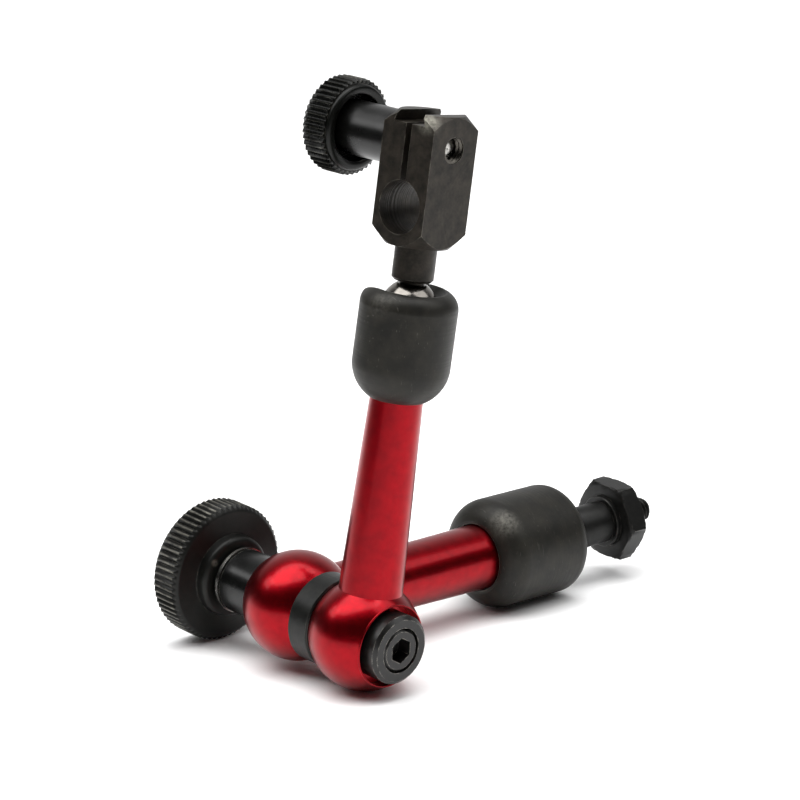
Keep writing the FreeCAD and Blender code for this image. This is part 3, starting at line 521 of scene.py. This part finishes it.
# %% Make six smooth steels
ground_black_finish = smooth_steel("ground_and_blackened_steel", "#090a09", 0.3, 0.20, 0.28,
                                   smear_mm=3.0, relief=0.02, wear=0.8)
cap_finish = smooth_steel("handled_black_steel", "#1b1a19", 0.3, 0.28, 0.38,
                          smear_mm=1.5, relief=0.03, wear=1.0)
satin_black_finish = smooth_steel("satin_black_steel", "#0c0c0b", 0.3, 0.26, 0.34,
                                  smear_mm=3.0, relief=0.02)
ball_finish = smooth_steel("polished_bearing_steel", "#7c7873", 1.0, 0.14, 0.24,
                           smear_mm=1.2, relief=0.03)
bright_finish = smooth_steel("bright_turned_steel", "#b9b7b2", 1.0, 0.20, 0.30,
                             smear_mm=2.0, relief=0.03)
thread_finish = smooth_steel("darkened_thread_steel", "#4d4a45", 0.9, 0.22, 0.34,
                             smear_mm=1.0, relief=0.03)
for finish in (ground_black_finish, cap_finish, satin_black_finish, ball_finish,
               bright_finish, thread_finish):
    print("made", finish.name)


# %% [markdown]
# ## Give every CAD node its finish
#
# Where the CAD shape is already right, only its material changes. The node's own material slots are
# filled with the finish, and the mesh is left alone. What the list leaves out gets plain bright
# steel: the washer, the pieces inside the arm, and the nodes that a new piece takes the place of.

# %% Paint the nodes
finish_of = {
    "upper_hub": red_finish, "lower_hub": red_finish,
    "upper_tube": red_finish, "lower_tube": red_finish,
    "upper_sleeve": upper_sleeve_finish, "lower_sleeve": lower_sleeve_finish,
    "spacer_ring": spacer_finish,
    "clamp_block": block_finish, "upper_neck": block_finish,
    "end_cap": cap_finish, "draw_bolt": cap_finish,
    "knob_collar": ground_black_finish, "clamp_screw": ground_black_finish,
    "upper_ball": ball_finish, "lower_ball": ball_finish,
    "clamp_spacer": satin_black_finish,
}


def paint(piece, finish):
    piece.data.materials.clear()
    piece.data.materials.append(finish)


for name, node in frame["nodes"].items():
    paint(node, finish_of.get(name, bright_finish))
print("painted", len(frame["nodes"]), "nodes")


# %% [markdown]
# ## A lathe
#
# Knobs, studs and threads are all turned shapes with something cut into them. A lathe function
# sweeps a profile of (height, radius) pairs round an axis. A second function may change the radius
# with the angle: that is the knurling wheel, the hexagon mill or the threading tool. Bmesh is used
# because each ring can then be shaped by a formula, which no modifier does.

# %% Shade smooth, but keep machined edges sharp
SHARP_EDGE = math.radians(38)


def finish_mesh(name, mesh):
    for face in mesh.faces:
        face.smooth = True
    for edge in mesh.edges:
        edge.smooth = edge.calc_face_angle(0.0) < SHARP_EDGE
    data = bpy.data.meshes.new(name)
    mesh.to_mesh(data)
    mesh.free()
    piece = bpy.data.objects.new(name, data)
    bpy.context.scene.collection.objects.link(piece)
    print(name, "has", len(data.vertices), "points")
    return piece


print("edges of more than", round(math.degrees(SHARP_EDGE)), "degrees stay sharp")


# %% Turn a profile round an axis
def turn(name, centre, axis, profile, segments, cut=None, start_way=None):
    """Sweep (height, radius) pairs, in millimetres; a radius of nought closes the shape."""
    first = (start_way or axis.orthogonal()).normalized()
    first = (first - axis * first.dot(axis)).normalized()
    second = axis.cross(first)
    mesh = bmesh.new()
    rings = []
    for height, radius in profile:
        if radius == 0.0:
            rings.append([mesh.verts.new(centre + axis * height * MM)])
            continue
        ring = []
        for i in range(segments):
            angle = 2 * math.pi * i / segments
            r = cut(angle, height, radius) if cut else radius
            way = first * math.cos(angle) + second * math.sin(angle)
            ring.append(mesh.verts.new(centre + (axis * height + way * r) * MM))
        rings.append(ring)
    for below, above in zip(rings, rings[1:]):
        for i in range(segments):
            corners = [below[i % len(below)], below[(i + 1) % len(below)],
                       above[(i + 1) % len(above)], above[i % len(above)]]
            corners = list(dict.fromkeys(corners))
            if len(corners) > 2:
                mesh.faces.new(corners)
    bmesh.ops.recalc_face_normals(mesh, faces=mesh.faces)
    return finish_mesh(name, mesh)


print("a ring of 144 points has one every", 360 / 144, "degrees")


# %% [markdown]
# ## The lock knob
#
# The big knob is a steel disc with straight knurling on its rim, a turned boss on the side of the
# arm and a shallow dish on its back. A knurling wheel presses V grooves, and the crests between them
# come out rounded. The groove formula below is deepest in the middle of each pitch. On the chamfers
# the groove runs out where the cone falls below it, and taking the smaller of the two radii gives
# just that.

# %% The knurling wheel
def knurled(ribs, rim, depth, sharpness):
    def cut(angle, height, radius):
        groove = abs(math.cos(angle * ribs / 2)) ** sharpness
        return min(radius, rim - depth * groove) if radius > rim - 2 * depth else radius
    return cut


POINTS_PER_RIB = 8
LOCK_KNOB_RIBS = 66
pitch = 2 * math.pi * LOCK_KNOB_RIM / LOCK_KNOB_RIBS
print("the knurls of the lock knob are", round(pitch, 2), "mm apart")

# %% Turn and knurl the lock knob
# Its outline runs out of the bolt's hole, over the boss and the rim, and ends in the dish.
lock_knob_bore = [(21.0, 0.0), (21.0, 2.15), (14.6, 2.15)]
lock_knob_boss = [(14.5, 2.3), (14.5, 5.75), (14.62, 6.08), (14.95, 6.36), (15.3, 6.45),
                  (16.2, 6.45), (16.38, 6.52), (16.5, 6.75)]
lock_knob_front = [(16.5, 9.9), (16.56, 10.1), (16.75, 10.35), (17.0, 10.62)]
lock_knob_rim = [(17.25, LOCK_KNOB_RIM), (19.3, LOCK_KNOB_RIM), (21.4, LOCK_KNOB_RIM)]
lock_knob_back = [(21.62, 10.65), (21.85, 10.42), (22.02, 10.2), (22.1, 9.95)]
lock_knob_dish = [(22.1, 7.1), (21.72, 6.9), (21.7, 6.7), (21.7, 0.0)]
lock_knob = turn("lock_knob_knurled", lower_hub_centre, lock_axis,
                 lock_knob_bore + lock_knob_boss + lock_knob_front + lock_knob_rim
                 + lock_knob_back + lock_knob_dish, LOCK_KNOB_RIBS * POINTS_PER_RIB,
                 knurled(LOCK_KNOB_RIBS, LOCK_KNOB_RIM, depth=0.45, sharpness=2.4))
paint(lock_knob, lock_knob_finish)
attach(lock_knob, "knob")
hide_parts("lock_knob")

# %% [markdown]
# ## The clamp knob
#
# The small knob has fewer, coarser and squarer teeth, so a power below one makes its grooves wide
# and flat. In front of the teeth stands a smooth rounded ring, and inside it a recess hides the end
# of the spacer tube.

# %% Turn and cut the clamp knob
CLAMP_KNOB_TEETH = 46
clamp_knob_recess = [(18.0, 0.0), (18.0, 5.05), (14.6, 5.05)]
clamp_knob_ring = [(14.36, 5.12), (14.2, 5.36), (14.2, 5.9), (14.28, 6.2), (14.46, 6.4),
                   (14.7, 6.48), (14.9, 6.5)]
clamp_knob_rim = [(14.9, 6.78), (14.98, 7.02), (15.2, CLAMP_KNOB_RIM), (16.9, CLAMP_KNOB_RIM),
                  (18.8, CLAMP_KNOB_RIM), (19.05, 7.12), (19.2, 6.85)]
clamp_knob_back = [(19.2, 5.2), (19.14, 5.0), (19.14, 0.0)]
clamp_knob = turn("clamp_knob_toothed", clamp_centre, clamp_axis,
                  clamp_knob_recess + clamp_knob_ring + clamp_knob_rim + clamp_knob_back,
                  CLAMP_KNOB_TEETH * POINTS_PER_RIB,
                  knurled(CLAMP_KNOB_TEETH, CLAMP_KNOB_RIM, depth=0.6, sharpness=0.8))
paint(clamp_knob, clamp_knob_finish)
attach(clamp_knob, "clamp_handle")
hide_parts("clamp_knob")

# %% [markdown]
# ## The threaded stud
#
# The stud is turned from hexagon bar: a neck that comes out of the lower ball, a step, the hexagon
# with chamfered corners and an M4 screw. The CAD keeps the screw as a plain cylinder. Here the
# thread is cut: a right-hand thread rises one pitch for every turn, so its phase is the height in
# pitches less the angle in turns.

# %% Find the corners of the hexagon on the CAD stud
HEX_START, HEX_END, HEX_HALF = 13.5, 17.1, 6.0       # heights, and half the width across flats


def farthest_from_axis(node, centre, axis, low, high):
    """Unit vector to the outermost CAD vertex between two heights in millimetres."""
    best = Vector((0, 0, 0))
    for vertex in node.data.vertices:
        offset = vertex.co - centre
        height = offset.dot(axis)
        across = offset - axis * height
        if low * MM < height < high * MM and across.length > best.length:
            best = across
    return best.normalized()


hex_corner_way = farthest_from_axis(frame["nodes"]["lower_stud"], lower_ball_centre, stud_axis,
                                    HEX_START, HEX_END)
print("a corner of the hexagon points to", [round(c, 2) for c in hex_corner_way])


# %% Mill the hexagon and cut the thread
THREAD_START, THREAD_END, THREAD_PITCH = 17.14, 22.3, 0.7
THREAD_RADIUS, THREAD_DEPTH = 2.0, 0.38
RUN_OUT = 0.5                # the chamfered last stretch of the screw
INSIDE_HEX = 5.0             # what is turned to less than this is not milled


def thread_root(height, angle):
    """From 0 on the crest to 1 in the root of a right-hand thread."""
    phase = (height / THREAD_PITCH - angle / (2 * math.pi)) % 1.0
    return min(1.0, 1.25 * abs(2 * phase - 1))


def hexagon_and_thread(angle, height, radius):
    if HEX_START <= height <= HEX_END and radius > INSIDE_HEX:
        turned = (angle + math.pi / 6) % (math.pi / 3) - math.pi / 6
        flat = HEX_HALF / math.cos(math.pi / 6 - abs(turned))
        return min(radius, flat)
    if height > HEX_END and radius > THREAD_RADIUS - THREAD_DEPTH:
        return min(radius, THREAD_RADIUS - THREAD_DEPTH * thread_root(height, angle))
    return radius


print("the thread has", round((THREAD_END - THREAD_START) / THREAD_PITCH, 1), "turns")

# %% Turn the stud
THREAD_STEPS = 74
hex_corner_radius = HEX_HALF / math.cos(math.pi / 6)
stud_neck = [(-3.3, 0.0), (-3.3, 2.0), (5.0, 2.0), (5.0, 3.0), (5.12, 3.26), (5.4, 3.4),
             (12.7, 3.4), (12.7, 4.1), (12.8, 4.2)]
stud_hexagon = [(HEX_START, 4.2), (HEX_START, 5.9), (13.56, 6.08), (13.8, 6.55),
                (14.1, hex_corner_radius), (16.5, hex_corner_radius), (16.8, 6.55),
                (17.04, 6.08), (HEX_END, 5.9), (HEX_END, 2.1), (17.12, 1.98)]
threaded_length = THREAD_END - RUN_OUT - THREAD_START
stud_screw = [(THREAD_START + threaded_length * i / THREAD_STEPS, THREAD_RADIUS)
              for i in range(THREAD_STEPS + 1)]
stud_end = [(THREAD_END - 0.3, 1.85), (THREAD_END - 0.1, 1.66), (THREAD_END, 1.5),
            (THREAD_END, 0.0)]
stud = turn("stud_threaded", lower_ball_centre, stud_axis,
            stud_neck + stud_hexagon + stud_screw + stud_end, 144, hexagon_and_thread,
            hex_corner_way)
paint(stud, stud_finish)
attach(stud, "stud")
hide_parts("lower_stud")

# %% [markdown]
# ## The thread in the clamp's small hole
#
# The clamp screw ends a little under the block's plain side, and a few turns of the hole's M4 thread
# show above it. They are a thin threaded bush inside the hole, made with the same formula turned
# inside out: the crests now point to the axis. Steel that has gone dark shows on them.

# %% Thread the hole
BUSH_WALL, BUSH_ROOT, BUSH_CREST = 1.985, 1.96, 1.66     # radii in mm
BUSH_TOP, BUSH_END, BUSH_STEPS = 4.9, 3.4, 22


def inner_thread(angle, height, radius):
    if radius == BUSH_WALL:
        return radius
    return BUSH_ROOT - (BUSH_ROOT - BUSH_CREST) * (1 - thread_root(height, angle))


hole_profile = [(BUSH_TOP, BUSH_WALL)]
hole_profile += [(BUSH_TOP - (BUSH_TOP - BUSH_END) * i / BUSH_STEPS, BUSH_CREST)
                 for i in range(BUSH_STEPS + 1)]
hole_profile += [(BUSH_END, BUSH_WALL), (BUSH_TOP, BUSH_WALL)]
hole_thread = turn("clamp_hole_thread", clamp_centre, -clamp_axis, hole_profile, 64, inner_thread)
paint(hole_thread, thread_finish)
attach(hole_thread, "clamp")

# %% [markdown]
# ## The bare end of the clamp screw
#
# At the bottom of that hole lies the end of the screw. It was cut to length after it was blackened,
# so it is bare, and it glints in the dark hole. It turns with the small knob.

# %% Turn the screw's end
screw_end_profile = [(3.3, 0.0), (3.3, 1.5), (3.5, 1.5), (3.63, 1.32), (3.63, 0.35), (3.58, 0.0)]
screw_end = turn("screw_end_bare", clamp_centre, -clamp_axis, screw_end_profile, 48)
paint(screw_end, bright_finish)
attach(screw_end, "clamp_handle")

# %% [markdown]
# ## The lip round the hub's recess
#
# The recess for the end cap was bored after the ball was turned, and the edge between them was
# broken with a file, so it catches the light as a narrow bright line. A bevel would need the CAD
# mesh changed, so a slim rounded ring follows that edge instead.

# %% Turn the recess lip
HUB_RADIUS, RECESS_RADIUS, LIP_RADIUS, LIP_STEPS = 8.5, 6.25, 0.16, 12
LIP_RING = RECESS_RADIUS + LIP_RADIUS / 2
lip_height = math.sqrt(HUB_RADIUS ** 2 - RECESS_RADIUS ** 2)
lip_profile = [(lip_height + LIP_RADIUS * math.sin(step / LIP_STEPS * 2 * math.pi),
                LIP_RING + LIP_RADIUS * math.cos(step / LIP_STEPS * 2 * math.pi))
               for step in range(LIP_STEPS + 1)]
recess_lip = turn("recess_lip", upper_hub_centre, -lock_axis, lip_profile, 160)
paint(recess_lip, red_finish)
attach(recess_lip, "upper_arm")

# %% [markdown]
# ## The studio
#
# The arm stands on a white table in front of a white backdrop. A long lens, a little above it, keeps
# near and far pieces nearly to one scale, as in a catalogue. The camera is placed by its turn, tilt
# and roll. Two level directions come out of these, one across the view and one towards the camera,
# and the table, the felt and the lights are set out along them.

# %% Camera: a long lens, looking down a little
camera_place = Vector((0.44759, -0.42270, 0.20571))
camera_turn, camera_tilt, camera_roll = (math.radians(a) for a in (-47.454, -15.388, 0.431))
ahead = Vector((math.sin(camera_turn) * math.cos(camera_tilt),
                math.cos(camera_turn) * math.cos(camera_tilt), math.sin(camera_tilt)))
right = Vector((math.cos(camera_turn), -math.sin(camera_turn), 0.0))
roll = Matrix.Rotation(camera_roll, 3, ahead)
right, up = roll @ right, roll @ right.cross(ahead)
camera_data = bpy.data.cameras.new("long_lens")
camera_data.sensor_width, camera_data.lens = 36.0, 184.95
camera_data.clip_start, camera_data.clip_end = 0.01, 20.0
camera = bpy.data.objects.new("long_lens", camera_data)
camera.matrix_world = Matrix.Translation(camera_place) @ Matrix(
    (right, up, -ahead)).transposed().to_4x4()
bpy.context.scene.collection.objects.link(camera)
bpy.context.scene.camera = camera
side = Vector((right.x, right.y, 0.0)).normalized()
towards_camera = Vector((-ahead.x, -ahead.y, 0.0)).normalized()
print("the lens is", camera_data.lens, "mm")


# %% [markdown]
# ## The table
#
# The table is a plane of matt white laminate just under the arm. Glossy steel mirrors it. A table
# that is white everywhere would turn black steel grey, so it is white round the arm and falls into
# shade some way off, in front and to the left.

# %% Lay the table
TABLE_HALF_SIDE = 2.5        # metres
TABLE_DROP = 0.05 * MM       # clear of the lowest point of the arm
SHADE_START, SHADE_END = 0.16, 0.60      # metres from the origin


def table_top():
    mesh = bmesh.new()
    corners = [mesh.verts.new((x * TABLE_HALF_SIDE, y * TABLE_HALF_SIDE, -TABLE_DROP))
               for x, y in ((-1, -1), (1, -1), (1, 1), (-1, 1))]
    mesh.faces.new(corners)
    return finish_mesh("white_table", mesh)


def shade_towards(material, place, way, darkest):
    """White near the arm, then slowly down to the darkest in a direction."""
    distance = add_node(material, "ShaderNodeVectorMath", {1: way}, {0: place},
                        operation="DOT_PRODUCT").outputs["Value"]
    return add_node(material, "ShaderNodeMapRange",
                    {"From Min": SHADE_START, "From Max": SHADE_END, "To Min": 1.0,
                     "To Max": darkest},
                    {"Value": distance}, interpolation_type="SMOOTHSTEP").outputs[0]


def matt_white_laminate():
    material, shader = start_material("matt_white_laminate", Roughness=0.7)
    place = add_node(material, "ShaderNodeTexCoord").outputs["Object"]
    white, _ = clouded(material, place, size_mm=1.0, detail=4.0, roughness=0.5,
                       stops=(0.0, 1.0), tones=(linear("#f4f4f4"), linear("#fbfbfb")))
    left = shade_towards(material, place, -side, darkest=0.60)
    front = shade_towards(material, place, towards_camera, darkest=0.80)
    lit = add_node(material, "ShaderNodeMath", links={0: left, 1: front}, operation="MULTIPLY")
    shaded = add_node(material, "ShaderNodeVectorMath", operation="SCALE",
                      links={0: white, "Scale": lit.outputs[0]})
    plug(material, shader, Base_Color=shaded.outputs[0])
    return material


table = table_top()
paint(table, matt_white_laminate())

# %% [markdown]
# ## A black flag
#
# Gloss shows what stands round it, so on a white set a round black piece turns grey. A strip of
# black felt stands beside the piece, and the flanks that mirror it go dark. The strip is there for
# the gloss only: it is hidden from the lens and from soft light, and it casts no shadow.

# %% Stand the felt strip on the left
FELT_DISTANCE, FELT_HALF_LENGTH, FELT_HEIGHT = 0.30, 0.26, 0.13      # metres


def black_felt():
    material, shader = start_material("black_felt", Roughness=0.95)
    place = add_node(material, "ShaderNodeTexCoord").outputs["Object"]
    black, _ = clouded(material, place, size_mm=1.5, detail=4.0, roughness=0.5,
                       stops=(0.0, 1.0), tones=(linear("#0c0c0c"), linear("#1a1a1a")))
    plug(material, shader, Base_Color=black)
    return material


def felt_strip():
    mesh = bmesh.new()
    corners = [mesh.verts.new(-side * FELT_DISTANCE + towards_camera * along
                              + Vector((0, 0, height)))
               for along, height in ((-FELT_HALF_LENGTH, 0.0), (FELT_HALF_LENGTH, 0.0),
                                     (FELT_HALF_LENGTH, FELT_HEIGHT),
                                     (-FELT_HALF_LENGTH, FELT_HEIGHT))]
    mesh.faces.new(corners)
    return finish_mesh("felt_strip", mesh)


flag = felt_strip()
paint(flag, black_felt())
flag.visible_camera = flag.visible_diffuse = flag.visible_shadow = False

# %% [markdown]
# ## The light
#
# Three soft boxes light the arm: a large round one above, which draws the long highlights on the
# tubes, and two smaller ones on the right and on the left. A light that is strong enough to whiten
# the table would wash out the red, so a soft sun lights the table alone: light linking gives it a
# collection with nothing else in it. Behind the arm the world is bright, so that its edges pick up a
# pale rim, and in front it is dim, so that black steel stays black. Where the lens looks straight at
# it, it is plain white.

# %% Lights
middle = Vector((0.0, -0.01, 0.04))
straight_up = Vector((0, 0, 1))


def aim(lamp, place, target):
    lamp.location = place
    lamp.rotation_euler = (target - place).to_track_quat("-Z", "Y").to_euler()
    bpy.context.scene.collection.objects.link(lamp)


def soft_box(name, place, target, width, length, watts, outline):
    light = bpy.data.lights.new(name, "AREA")
    light.shape, light.size, light.size_y, light.energy = outline, width, length, watts
    aim(bpy.data.objects.new(name, light), place, target)


def from_middle(to_the_right, to_the_camera, upward):
    """A place in metres from the middle of the arm."""
    return middle + to_the_right * side + to_the_camera * towards_camera + upward * straight_up


soft_box("right_box", from_middle(0.36, 0.04, 0.44), middle, 0.42, 0.42, 1.2, "RECTANGLE")
soft_box("left_box", from_middle(-0.47, -0.02, 0.33), middle, 0.20, 0.16, 0.40, "RECTANGLE")
soft_box("top_box", from_middle(-0.12, 0.02, 0.60), middle, 0.55, 1.00, 5.8, "ELLIPSE")
table_light = bpy.data.lights.new("table_light", "SUN")
table_light.energy, table_light.angle = 1.85, math.radians(75)
table_lamp = bpy.data.objects.new("table_light", table_light)
aim(table_lamp, Vector((0.1, -0.1, 1.0)), middle)
only_table = bpy.data.collections.new("only_table")
only_table.objects.link(table)
table_lamp.light_linking.receiver_collection = only_table

# %% The world: bright behind, dim in front, white where it is looked at directly
DIM_FRONT, BRIGHT_BACK = 0.04, 0.8

world = bpy.data.worlds.new("white_backdrop")
world.use_nodes = True
bpy.context.scene.world = world
place = add_node(world, "ShaderNodeTexCoord").outputs["Generated"]
behind = add_node(world, "ShaderNodeVectorMath", {1: -towards_camera}, {0: place},
                  operation="DOT_PRODUCT").outputs["Value"]
fall_off = add_node(world, "ShaderNodeMapRange",
                    {"From Min": 0.35, "From Max": 0.9, "To Min": DIM_FRONT,
                     "To Max": BRIGHT_BACK},
                    {"Value": behind}, interpolation_type="SMOOTHSTEP").outputs[0]
seen = add_node(world, "ShaderNodeLightPath").outputs["Is Camera Ray"]
strength = add_node(world, "ShaderNodeMath", links={0: fall_off, 1: seen},
                    operation="MAXIMUM").outputs[0]
backdrop = world.node_tree.nodes["Background"]
backdrop.inputs["Color"].default_value = (1.0, 1.0, 1.0, 1.0)
world.node_tree.links.new(strength, backdrop.inputs["Strength"])
bpy.context.scene.view_settings.view_transform = "Standard"
print("the world goes from", DIM_FRONT, "in front to", BRIGHT_BACK, "behind")
